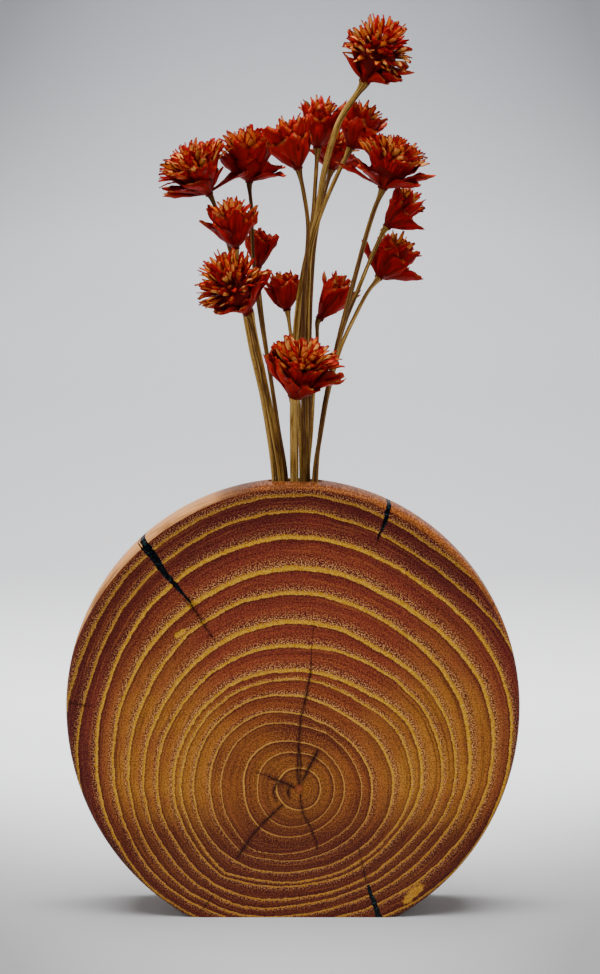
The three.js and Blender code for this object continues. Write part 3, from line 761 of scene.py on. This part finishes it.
def add_splits(work, wood, colour):
    """Splits and hair cracks: a thin dark core with a soft stain on both sides."""
    bend = (work.noise(wood.flat, 0.45, 3, 0.7) - 0.5) * 2.2
    spot = work.vector("ADD", wood.flat, work.combine(bend, 0.0, bend))
    nearest = 99.0
    for line in WOOD_LINES:
        for first, second in zip(line, line[1:]):
            start = Vector((PITH[0] + first[0], 0, PITH[1] + first[1]))
            run = Vector((second[0] - first[0], 0, second[1] - first[1]))
            away = work.vector("SUBTRACT", spot, tuple(start))
            along = work.vector("DOT_PRODUCT", away, tuple(run / run.length_squared))
            along = along.at_most(1.0).at_least(0.0)
            distance = work.vector("DISTANCE", away, work.scaled(tuple(run), along))
            nearest = (distance / (along * (second[2] - first[2]) + first[2])).at_most(nearest)
    breaks = work.noise(wood.flat, 0.6, 1)
    stain = nearest.step(0.4, 3.4, 0.65, 0.0) * wood.patch.step(0.2, 0.6, 0.5, 1.0)
    core = nearest.step(0.25, 0.85, 0.92, 0.0) * breaks.step(0.36, 0.5, 0.35, 1.0)
    return work.coats(colour, (stain, paint(64, 20, 8)), (core, paint(22, 6, 4))), core


def wood_material():
    """Oiled end grain: pale early wood that starts sharply at each ring, and speckled brown outside it."""
    material, work, shader = new_material("oiled_log_slice")
    wood = ring_places(work)
    colour = add_pale_wood(work, wood, brown_wood(work, wood))
    colour, on_rim = add_rim(work, wood, colour)
    colour, core = add_splits(work, wood, colour)

    # The pith itself is a small ring of pale dots round a darker middle
    dots = work.noise(wood.flat, 1.7, 0).step(0.44, 0.56, 0.15, 1.0)
    colour = work.coats(
        colour, (wood.reach.step(1.8, 2.6, 0.6, 0.0), paint(96, 34, 12)),
        (wood.reach.step(1.5, 2.2, 1.0, 0.0) * dots, paint(150, 76, 34)))
    work.feed(shader, {
        "Base Color": work.mix(1.0, colour, (0.95, 0.94, 1.08, 1), blend="MULTIPLY"),
        "Roughness": work.noise(wood.grain, 0.6, 2) * 0.2 + 0.4, "Specular IOR Level": 0.02,
        "Coat Weight": on_rim * -0.4 + 0.5, "Coat IOR": 1.3, "Coat Roughness": 0.14,
        "Normal": work.bump(0.2, wood.speck * 0.3 - core)})
    return material


def resin_material():
    """Blue-black resin with a few cloudy teal veins, polished."""
    material, work, shader = new_material("blue_black_resin")
    cloud = work.noise(work.vector("MULTIPLY", work.place_in_mm(), (1, 0.2, 1)), 0.8, 4, 0.6)
    grazing = work.get("ShaderNodeLayerWeight", {"Blend": 0.5}, "Facing")
    work.feed(shader, {
        "Base Color": work.ramp(cloud, (
            (0.35, paint(5, 5, 8)), (0.56, paint(8, 11, 15)), (0.70, paint(40, 72, 78)))),
        "Roughness": cloud * 0.2 + 0.06, "Specular IOR Level": 0.0,
        "Coat Weight": grazing.step(0.5, 0.85, 0.5, 0.18), "Coat IOR": 1.3, "Coat Roughness": 0.12})
    return material


def make_slice():
    blank = slice_blank("log_slice", 400, 96)
    tools = [bore_tool()]
    resin = resin_material()
    for number, (name, (angle, fissures)) in enumerate(CRACKS.items()):
        tools.append(crack_tool("tool_" + name, angle, fissures, number))
        filling = slice_blank("fill_" + name, 160, 12)
        cut(filling, tools[-1], "INTERSECT")
        settle(filling)
        filling.data.set_sharp_from_angle(angle=SHARP_ANGLE)
        dress(filling, "vase", "resin", resin, name)
    for tool in tools:
        cut(blank, tool)
    settle(blank, *tools)
    blank.data.set_sharp_from_angle(angle=SHARP_ANGLE)
    age, width = growth_at(corners(blank.data))
    store_values(blank.data, "age", age)
    store_values(blank.data, "ring_width", width)
    dress(blank, "vase", "wood", wood_material(), "disc_body")


# Stems


def smooth_row(points, steps=10):
    """A centripetal spline through the points."""
    ends = [points[0] * 2 - points[1], *points, points[-1] * 2 - points[-2]]
    row = []
    for a, b, c, d in zip(ends, ends[1:], ends[2:], ends[3:]):
        gaps = [math.sqrt((q - p).length) for p, q in ((a, b), (b, c), (c, d))]
        into = ((b - a) / gaps[0] - (c - a) / (gaps[0] + gaps[1]) + (c - b) / gaps[1]) * gaps[1]
        out = ((c - b) / gaps[1] - (d - b) / (gaps[1] + gaps[2]) + (d - c) / gaps[2]) * gaps[1]
        for i in range(steps):
            t = i / steps
            cube, square = t**3, t**2
            row.append(b * (2 * cube - 3 * square + 1) + into * (cube - 2 * square + t)
                       + c * (3 * square - 2 * cube) + out * (cube - square))
    return row + [points[-1]]


def stem_route(flower):
    """The stem's middle line from its foot in the bore to the head, as a smooth row of points."""
    mouth = Vector((BORE_OFFSET, 0, VASE_HEIGHT))
    spot = Vector([share * BORE_RADIUS for share in (*flower.spot, 0)])
    foot = spot + Vector((0, 0, STEM_CLEARANCE - BORE_DEPTH))
    route = [Vector(point) for point in flower.route]
    joint = route[-1]
    under = joint - Vector(flower.aim).normalized() * UNDER_HEAD
    points = [foot, foot.lerp(spot, 0.5), spot, *route[:-1], under, joint]
    return smooth_row([point + mouth for point in points])


def new_tree(name, inputs):
    """A geometry tree with named inputs, its node work, and the values of its inputs by name."""
    tree = bpy.data.node_groups.new(name, "GeometryNodeTree")
    tree.interface.new_socket("Geometry", in_out="INPUT", socket_type="NodeSocketGeometry")
    tree.interface.new_socket("Geometry", in_out="OUTPUT", socket_type="NodeSocketGeometry")
    for label, kind in inputs.items():
        tree.interface.new_socket(label, in_out="INPUT", socket_type="NodeSocket" + kind)
    work = NodeWork(tree)
    entry = work.add("NodeGroupInput")
    return tree, work, {label: Value(work, entry.outputs[label]) for label in ("Geometry", *inputs)}


def keep(work, geometry, values):
    """Stores each value on the geometry's points under its name."""
    for name, value in values.items():
        sockets = {"Geometry": geometry, "Name": name, "Value": value}
        geometry = work.get("GeometryNodeStoreNamedAttribute", sockets, data_type="FLOAT")
    return geometry


def end_tree(work, geometry, material):
    real = work.get("GeometryNodeRealizeInstances", {0: geometry})
    work.add("NodeGroupOutput", {
        0: work.get("GeometryNodeSetMaterial", {"Geometry": real, "Material": material})})


def run_tree(piece, tree, values):
    """Runs a tree on a piece, with values for its named inputs."""
    modifier = piece.modifiers.new("shape", "NODES")
    modifier.node_group = tree
    for item in tree.interface.items_tree:
        if item.in_out == "INPUT" and item.name in values:
            modifier[item.identifier] = values[item.name]


def stem_tree():
    """Sweeps a ribbed round along the stem's line and flares it under the head."""
    tree, work, given = new_tree("ribbed_stem", {
        "Radius": "Float", "Flare": "Float", "Flare Length": "Float", "Ribs": "Int",
        "Rib Depth": "Float", "Seed": "Float", "Material": "Material"})
    along = work.get("GeometryNodeSplineParameter", output="Length")
    to_head = work.get("GeometryNodeSplineLength", output="Length") - along
    flare = (1.0 - to_head / given["Flare Length"]).at_least(0.0)
    uneven = work.noise(work.combine(along * 60.0, given["Seed"]), 1.0, 2) * 0.24 + 0.84
    radius = (flare * flare * (given["Flare"] - 1.0) + uneven) * given["Radius"]
    line = keep(work, given["Geometry"], {"along": along})
    around = work.get("GeometryNodeSplineParameter", output="Factor")
    rib = (around * (2 * math.pi) * given["Ribs"]).cosine() * given["Rib Depth"] + 1.0
    ribbed = work.scaled(work.get("GeometryNodeInputPosition"), rib)
    profile = work.get("GeometryNodeCurvePrimitiveCircle", {"Resolution": 24, "Radius": 1.0})
    profile = keep(work, profile, {"around": around})
    profile = work.get("GeometryNodeSetPosition", {"Geometry": profile, "Position": ribbed})
    swept = work.get("GeometryNodeCurveToMesh", {
        "Curve": line, "Profile Curve": profile, "Scale": radius, "Fill Caps": True})
    end_tree(work, swept, given["Material"])
    return tree


def stem_material():
    """Dry straw with dark ribs and specks."""
    material, work, shader = new_material("dry_stem")
    along = work.attribute("along") / MM
    around = work.attribute("around") * (2 * math.pi)
    tint = work.attribute("tint")
    side = work.combine(around.cosine() * 2.2, around.sine() * 2.2, along * 0.05 + tint * 60)
    streak = work.noise(side, 1.4, 3, 0.7)
    tone = (work.noise(side, 0.3, 1) - 0.5) * 0.7 + streak + tint.step(0.0, 1.0, 0.09, -0.07)
    colour = work.ramp(tone, ((0.34, paint(46, 22, 4)), (0.46, paint(112, 72, 22)),
                              (0.56, paint(164, 124, 48)), (0.68, paint(208, 168, 90))))
    spot = work.noise(work.place_in_mm(), 1.7, 2, 0.6)
    colour = work.coats(colour, (spot.step(0.56, 0.66) * 0.55, paint(62, 34, 14)),
                        (tint.step(0.5, 1.0, 0.0, 0.3), paint(96, 52, 18)))
    work.feed(shader, {"Base Color": colour, "Roughness": streak * 0.25 + 0.5,
                       "Specular IOR Level": 0.2, "Normal": work.bump(0.5, streak)})
    return material


def make_stem(number, flower, tree, material):
    name = f"stem_{number:02d}_dry"
    points = stem_route(flower)
    curve = bpy.data.curves.new(name + "_line", "CURVE")
    curve.dimensions = "3D"
    spline = curve.splines.new("POLY")
    spline.points.add(len(points) - 1)
    for point, place in zip(spline.points, points):
        point.co = (*(place * MM), 1)
    line = new_object(name + "_line", curve)

    # Every stem stays a little inside its solid, and thin ones more than thick ones
    slimmer = 0.86 if flower.thickness < 2.8 else 0.98
    run_tree(line, tree, {
        "Radius": flower.thickness / 2 * slimmer * MM, "Flare": RECEPTACLE_FLARE * 1.1,
        "Flare Length": RECEPTACLE_LENGTH * MM, "Ribs": 5, "Rib Depth": 0.07, "Seed": number * 7.0,
        "Material": material})
    mesh = plain_mesh(line)
    bpy.data.objects.remove(line)
    mesh.shade_smooth()
    tint = random.Random(number * 31).random()
    store_values(mesh, "tint", np.full(len(mesh.vertices), tint))
    dress(new_object(name, mesh), "bunch", "stem", material, f"stem_{number:02d}")


# Flower heads


def blade_template(name, across, along):
    """A closed flat blade. Its points only say where they are along it and across it, and on which side."""
    section = [(-1 + 2 * i / across, 1 if 0 < i < across else 0) for i in range(across + 1)]
    section += [(place, -1) for place, _ in reversed(section[1:-1])]
    rows = [(k / along, place, skin) for k in range(along + 1) for place, skin in section]
    points = [(place * 0.1, share, skin * 0.01) for share, place, skin in rows]
    blade = mesh_object(name, points, tube_faces(len(section), along), unit=1)
    for label, column in zip(("along", "across", "skin"), zip(*rows)):
        store_values(blade.data, label, column)
    return blade


def stand_florets(work, given):
    """The points of the tuft: spread over the dome in a spiral, with the measures of their blades."""
    def chance(low, high, salt):
        sockets = {"Min": low, "Max": high, "Seed": given["Seed"] + salt}
        return work.get("FunctionNodeRandomValue", sockets, "Value", data_type="FLOAT")

    golden_angle = math.pi * (3 - math.sqrt(5))
    index = work.get("GeometryNodeInputIndex")
    share = ((index + 0.5) / given["Florets"]).root()
    tilt = share * given["Spread"] + chance(-0.14, 0.14, 1)
    return keep(work, work.get("GeometryNodePoints", {"Count": given["Florets"]}), {
        "turn": index * golden_angle + chance(-0.2, 0.2, 2),
        "start": tilt * 0.85,
        "finish": tilt + chance(-0.4, 0.5, 3),
        "length": given["Floret Length"] * chance(0.78, 1.05, 4),
        "width": given["Floret Width"] * chance(0.6, 1.35, 5),
        "base": given["Dome Radius"] * tilt.sine(),
        "rise": given["Dome Radius"] * tilt.cosine() + given["Dome Level"],
        "tint": chance(0.0, 1.0, 6),
        "slim": 1.0,
        "twist": chance(-1.0, 1.0, 7)})


def blade_place(work):
    """Where a blade's point goes: each blade leaves the head's axis at one tilt and ends at another."""
    at = SimpleNamespace(**{
        name: work.get("GeometryNodeInputNamedAttribute", {"Name": name}, data_type="FLOAT")
        for name in BLADE_VALUES + ("along", "across", "skin")})
    bend = at.finish - at.start
    bend = bend + (abs(bend) < 0.01) * 0.02
    tear = work.noise(work.combine(at.across * 1.7, at.tint * 90.0), 1.0, 2)
    tear = tear * at.along.step(0.5, 1.0, 0.0, 0.5) * (at.slim * -0.6 + 1.0)
    place = at.along * (1.1 - tear)
    reach = at.length / bend
    angle = bend * place + at.start
    sine, cosine = angle.sine(), angle.cosine()
    out = reach * (at.start.cosine() - cosine) + at.base
    up = reach * (sine - at.start.sine()) + at.rise

    # The blade's section is cupped and wavy, and turns about the blade's middle line
    swell = at.along.step(0.0, 0.6, at.slim * 0.15 + 0.3, 1.0) * at.along.step(0.45, 1.02, 1.0, 0.32)
    half = at.width * 0.5 * swell
    wave = work.noise(work.combine(at.across * 0.8, at.along * 2.2, at.tint * 70.0), 1.0, 2) - 0.5
    cup = at.across * at.across * half * (at.slim * -0.15 + 0.55)
    depth = wave * half * 1.2 + cup + at.skin * (at.slim * 0.0001 + 0.00013)
    side = at.across * half
    twist = at.twist * place
    side, depth = (side * twist.cosine() - depth * twist.sine(),
                   side * twist.sine() + depth * twist.cosine())
    out = out - depth * cosine
    up = depth * sine + up
    turn = wave * 0.25 + at.turn
    sine, cosine = turn.sine(), turn.cosine()
    return work.combine(out * cosine - side * sine, out * sine + side * cosine, up)


def head_tree():
    """Stands bracts on given points and a tuft of florets on a dome, and bends every blade to its shape."""
    tree, work, given = new_tree("head_of_bracts", {
        "Florets": "Int", "Spread": "Float", "Floret Length": "Float", "Floret Width": "Float",
        "Dome Radius": "Float", "Dome Level": "Float", "Seed": "Int", "Bract": "Object",
        "Floret": "Object", "Material": "Material"})
    joined = work.add("GeometryNodeJoinGeometry")
    collar = work.get("GeometryNodeMeshToPoints", {"Mesh": given["Geometry"]})
    for points, template in ((stand_florets(work, given), "Floret"), (collar, "Bract")):
        shape = work.get("GeometryNodeObjectInfo", {"Object": given[template]}, "Geometry")
        blades = work.get("GeometryNodeInstanceOnPoints", {"Points": points, "Instance": shape})
        work.feed(joined, {0: blades})
    shape = work.get("GeometryNodeRealizeInstances", {0: Value(work, joined.outputs[0])})
    shape = work.get("GeometryNodeSetPosition", {"Geometry": shape, "Position": blade_place(work)})
    end_tree(work, shape, given["Material"])
    return tree


def head_material():
    """Dyed red bracts: deep red with streaks, tan and orange at edges and tips. Painted shade darkens
    the foot of every blade, the broad bracts' groove and hems, and the florets' deep red tips.
    """
    material, work, shader = new_material("dyed_bracts")
    along, across, tint, slim = [work.attribute(x) for x in ("along", "across", "tint", "slim")]
    aside = abs(across)
    broad = 1.0 - slim
    streak = work.noise(work.combine(across * 3.0, along * 1.2, tint * 120.0), 1.6, 3, 0.6)
    mottle = work.noise(work.place_in_mm(), 0.5, 3, 0.6)
    red = work.ramp(streak, ((0.3, paint(78, 1, 0)), (0.48, paint(152, 6, 1)), (0.7, paint(204, 20, 5))))
    rust = work.mix(tint.step(0.3, 0.9), paint(222, 104, 20), paint(236, 168, 84))
    straw = work.mix((tint * 7.0).fraction().step(0.1, 0.9), paint(228, 116, 18), paint(242, 178, 88))
    golden = aside.step(0.85, 0.45) * along.step(0.15, 0.45) * along.step(1.0, 0.8)
    golden = golden * tint.step(0.2, 0.5, 0.0, 0.95) * slim
    edge = aside.step(0.4, 0.85) * mottle.step(0.4, 0.6) * along.step(0.55, 1.0) * broad
    # Painted shade: every blade darkens towards its foot, where the blades crowd into the head
    foot = along.step(0.0, 0.55, 1.0, 0.0) * (slim * 0.3 + 0.45)
    # Painted shade along the broad bracts' middle groove and along their hems
    groove_and_hem_shade = aside.step(0.0, 0.16, 0.35, 0.0).at_least(aside.step(0.78, 1.0, 0.0, 0.55))
    colour = work.coats(
        red,
        (tint.step(0.5, 1.0, 0.0, 0.3), paint(196, 32, 8)),
        (slim * 0.6, paint(200, 15, 3)),
        (golden, straw),
        (aside.step(0.6, 1.0, 0.0, 0.55) * slim, paint(112, 4, 0)),
        (edge * 0.6, rust),
        # The florets' tips are deep red, and darkened further as painted shade
        (along.step(0.82, 0.98, 0.0, 0.7) * slim, paint(110, 6, 0)),
        (foot, paint(50, 2, 0)),
        (groove_and_hem_shade * broad, paint(70, 4, 0)))
    work.feed(shader, {"Base Color": colour, "Roughness": streak * 0.3 + 0.5,
                       "Specular IOR Level": 0.12, "Normal": work.bump(0.5, streak)})
    return material


def head_sizes(flower):
    """The level and the radius of the dome that carries a head's florets, and the florets' length."""
    fullness = max(flower.open - 0.85, 0) / 0.15
    level = flower.height * (0.36 - 0.1 * flower.open + 0.14 * fullness)
    dome = flower.radius * (0.2 + 0.33 * flower.open)
    return level, dome, (flower.height - level - dome) * (0.94 + 0.06 * flower.open)


def neck_reach(flower):
    return flower.thickness / 2 * RECEPTACLE_FLARE


def bract_rows(flower, number, rough):
    """The head's bracts: the outer ones, an inner ring, and some among the florets on the dome."""
    openness, height = flower.open, flower.height
    level, dome, floret = head_sizes(flower)
    foot = neck_reach(flower) * 0.8
    rows = [(*bract, 0.0, foot) for bract in flower.outer]
    inner = 9 if openness < BALL_OPENNESS else 4
    for i in range(inner):
        turn = 360 * i / inner + rough.uniform(-14, 14) + number * 17
        start = 27 + 12 * openness + rough.uniform(-5, 5)
        finish = 14 + 18 * openness + rough.uniform(-14, 14)
        shorter = 0.18 * openness + (0.24 if openness > BALL_OPENNESS else 0)
        length = height * (rough.uniform(0.8, 0.96) - shorter)
        rows.append((turn, start, finish, length, rough.uniform(5.5, 7.5), 1.0, foot))
    if openness < WIDE_OPENNESS:
        for i in range(6):
            turn = 60 * i + rough.uniform(-25, 25) + number * 31
            start = 12 + 24 * openness + rough.uniform(-6, 6)
            finish = -6 + 34 * openness + rough.uniform(-14, 14)
            length = height * rough.uniform(0.52, 0.66)
            rows.append((turn, start, finish, length, rough.uniform(4, 5.5), height * 0.26, foot))
        return rows
    for i in range(12):
        turn = 137.5 * i + rough.uniform(-15, 15)
        tilt = (14 + (20 + 66 * openness) * math.sqrt(i / 12)) * 0.9
        finish = tilt * 0.5 + rough.uniform(-14, 14)
        length = floret * rough.uniform(0.85, 1.08)
        out = dome * 0.95 * math.sin(math.radians(tilt))
        rise = level + dome * 0.95 * math.cos(math.radians(tilt))
        rows.append((turn, tilt, finish, length, rough.uniform(4.2, 6.2), rise, out))
    return rows


def bract_points(flower, number):
    """The points that the head's bracts stand on, with the measures of their blades."""
    rough = random.Random(number)
    longer = 1.1 if flower.open < 0.45 else 1.0
    wider = 1.5 if flower.open < WIDE_OPENNESS else 1.35
    table = []
    for turn, start, finish, length, width, rise, base in bract_rows(flower, number, rough):
        table.append((
            math.radians(turn), math.radians(start + rough.uniform(-5, 5)),
            math.radians(finish + rough.uniform(-9, 9)), length * longer * MM, width * wider * MM,
            base * MM, (STEM_CLEARANCE + rise) * MM, rough.random(), 0.0, rough.uniform(-0.35, 0.35)))
    points = mesh_object("bract_points", [(0, 0, i) for i in range(len(table))], [])
    for label, column in zip(BLADE_VALUES, zip(*table)):
        store_values(points.data, label, column)
    return points


def head_cup(flower, turns=20):
    """The solid cup under the bracts, from the stem's end to the dome that carries the florets."""
    neck = neck_reach(flower)
    level, dome, _ = head_sizes(flower)
    profile = ((neck * 1.06, -NECK_LAP), (neck * 1.1, level * 0.2), (dome * 0.8, level * 0.7),
               (dome * 1.08, level), (dome * 0.92, level + dome * 0.55), (dome * 0.45, level + dome * 0.9))
    points = [(0, 0, -NECK_LAP), *turned(profile, turns), (0, 0, level + dome)]
    cup = mesh_object("head_cup", points, spindle_faces(turns, len(points) - 1))
    for label, value in (("along", 0.25), ("across", 0.0), ("tint", 0.3), ("slim", 0.0)):
        store_values(cup.data, label, np.full(len(points), value))
    return cup


def fill_outline(blades, flower):
    """Stretches the blades about the head's axis until they reach the head's measured radius and height."""
    spots = corners(blades.data)
    rim_percent = 96
    if flower.open > BALL_OPENNESS:
        rim_percent = 98
        slim = np.empty(len(spots), np.float32)
        blades.data.attributes["slim"].data.foreach_get("value", slim)
        spots = spots[slim > 0.5]
    reach = float(np.percentile(np.hypot(spots[:, 0], spots[:, 1]), rim_percent))
    top = float(np.percentile(spots[:, 2], 99.5))
    wider = min(max(flower.radius / reach, 0.9), 1.3)
    taller = min(max(flower.height / top, 0.8), 1.25)
    blades.data.transform(Matrix.Diagonal((wider, wider, taller, 1)))


def press_back(mesh):
    """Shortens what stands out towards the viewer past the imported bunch."""
    spots = corners(mesh)
    spots[:, 1] -= np.minimum(spots[:, 1] - FRONT_REACH, 0) * 0.75
    mesh.vertices.foreach_set("co", (spots * MM).ravel())


def head_place(flower):
    joint = Vector(flower.route[-1]) + Vector((BORE_OFFSET, 0, VASE_HEIGHT))
    lean = Vector((0, 0, 1)).rotation_difference(Vector(flower.aim).normalized())
    return Matrix.Translation(joint * MM) @ lean.to_matrix().to_4x4()


def join(name, *pieces):
    """One object from several, under a new name."""
    with bpy.context.temp_override(active_object=pieces[0], selected_editable_objects=list(pieces)):
        bpy.ops.object.join()
    pieces[0].name = name
    pieces[0].data.name = name
    return pieces[0]


def make_head(number, flower, tree, bract, floret, material):
    points = bract_points(flower, number)
    cup = head_cup(flower)
    level, dome, length = head_sizes(flower)
    run_tree(points, tree, {
        "Florets": int(8 + 160 * max(flower.open - 0.2, 0) * (flower.radius / 16)),
        "Spread": math.radians(26 + 42 * flower.open + 280 * max(flower.open - 0.85, 0)),
        "Floret Length": length * MM, "Floret Width": 3.3 * MM, "Dome Radius": dome * MM,
        "Dome Level": level * MM, "Seed": number * 11, "Bract": bract, "Floret": floret,
        "Material": material})
    settle(points)
    fill_outline(points, flower)
    cup.data.materials.append(material)
    head = join(f"bloom_{number:02d}_bracts", points, cup)
    head.data.transform(head_place(flower))
    press_back(head.data)
    head.data.shade_smooth()
    dress(head, "bunch", "bloom", material, f"bloom_{number:02d}")


def make_bunch():
    sweep, straw = stem_tree(), stem_material()
    arrange, dyed = head_tree(), head_material()
    bract = blade_template("bract_blade", 4, 7)
    floret = blade_template("floret_blade", 2, 5)
    for number, flower in enumerate(FLOWERS, start=1):
        make_stem(number, flower, sweep, straw)
        make_head(number, flower, arrange, bract, floret, dyed)
    bpy.data.objects.remove(bract)
    bpy.data.objects.remove(floret)


# Floor, backdrop and light


def make_sweep():
    """Floor, bend and backdrop in one sheet, in metres."""
    width, front, back, bend, height, steps = 6.0, -3.0, 1.6, 0.7, 4.0, 24
    line = [(front, 0.0), (back, 0.0)]
    for i in range(1, steps + 1):
        turn = math.pi / 2 * i / steps
        line.append((back + bend * math.sin(turn), bend * (1 - math.cos(turn))))
    line.append((back + bend, height))
    points = [(side * width / 2, y, z) for y, z in line for side in (-1, 1)]
    faces = [(2 * i, 2 * i + 1, 2 * i + 3, 2 * i + 2) for i in range(len(line) - 1)]
    sweep = mesh_object("pale_sweep", points, faces, unit=1)
    sweep.data.shade_smooth()
    sweep.data.materials.append(paper_material())


def paper_material():
    """Pale paper, toned along its run from the front of the floor to the top of the backdrop: painted
    shade darkens it towards the front of the floor and the top of the backdrop.
    """
    material, work, shader = new_material("pale_paper")
    place = work.get("ShaderNodeTexCoord", output="Object")
    aside, deep, level = work.several("ShaderNodeSeparateXYZ", "XYZ", {0: place})
    run = (deep + level) * 0.25 + 0.1
    # Painted shade: the paper darkens towards the front of the floor and the top of the backdrop
    colour = work.ramp(run, (
        (0.04, paint(165, 164, 165)), (0.08, paint(181, 181, 182)), (0.115, paint(204, 204, 205)),
        (0.19, paint(240, 241, 242)), (0.27, paint(255, 255, 255)), (0.43, paint(245, 246, 248)),
        (0.64, paint(230, 231, 234)), (0.86, paint(204, 206, 210)), (0.97, paint(184, 186, 191))))
    lift = work.ramp(run, (
        (0.12, grey(0)), (0.167, grey(0.38)), (0.265, (0.66, 0.67, 0.68, 1)),
        (0.43, (0.5, 0.5, 0.51, 1)), (0.66, (0.33, 0.33, 0.35, 1)), (0.75, (0.44, 0.44, 0.46, 1)),
        (0.80, (0.26, 0.26, 0.28, 1)), (0.85, (0.06, 0.06, 0.08, 1))))

    # The corners of the view fall off a little: painted shade that darkens the paper and its lift towards
    # the sides
    corner = work.ramp(run, ((0.07, grey(0.44)), (0.12, grey(0.28)), (0.2, grey(0.05)),
                             (0.7, grey(0.05)), (0.86, grey(0.52))))
    fall = abs(aside / (deep * 0.115 + 0.138)) ** 2.0 * corner
    fall = fall.at_most(level.step(0.3, 1.2, 0.39, 0.5))

    # The sweep's far part looks a little lighter, also in reflections, than the panels make it
    camera, glossy, through = work.several("ShaderNodeLightPath", RAY_KINDS)
    work.feed(shader, {
        "Base Color": work.mix(fall, colour, grey(0)), "Emission Color": work.mix(fall, lift, grey(0)),
        "Emission Strength": (camera + glossy + through).at_most(1.0), "Roughness": 0.9,
        "Specular IOR Level": 0.1})
    return material


def set_room():
    """A room that is bright behind the object and dark behind the camera."""
    world = bpy.data.worlds.new("soft_room")
    bpy.context.scene.world = world
    world.use_nodes = True
    work = NodeWork(world.node_tree)
    direction = work.get("ShaderNodeTexCoord", output="Generated")
    depth = work.several("ShaderNodeSeparateXYZ", "XYZ", {0: direction})[1]
    light = work.mix(depth.step(-0.85, 0.2), paint(24, 24, 26), paint(240, 242, 246))

    # Past the edges of the sweep there is a pale background, and the dark side of the room only lights
    camera, glossy, through = work.several("ShaderNodeLightPath", RAY_KINDS)
    shown = (camera + through + glossy * depth.step(0.0, 0.2)).at_most(1.0)
    work.feed(world.node_tree.nodes["Background"], {
        "Color": work.mix(shown, light, paint(206, 208, 212)), "Strength": 0.85})


def set_panels():
    """Soft light from large panels: place and size in metres, turn in degrees, power in watts."""
    panels = (("panel_above", (-0.1, -0.1, 1.9), (0, 0, 0), 1.7, 74),
              ("panel_left", (-1.5, -1.2, 1.0), (68, 0, -52), 1.2, 14),
              ("panel_right", (1.5, -1.2, 1.0), (68, 0, 52), 1.2, 10))
    for name, place, turn, size, power in panels:
        lamp = bpy.data.lights.new(name, "AREA")
        lamp.size = size
        lamp.energy = power
        panel = new_object(name, lamp)
        panel.location = place
        panel.rotation_euler = [math.radians(x) for x in turn]


set_camera()
make_sweep()
set_room()
set_panels()
make_slice()
make_bunch()
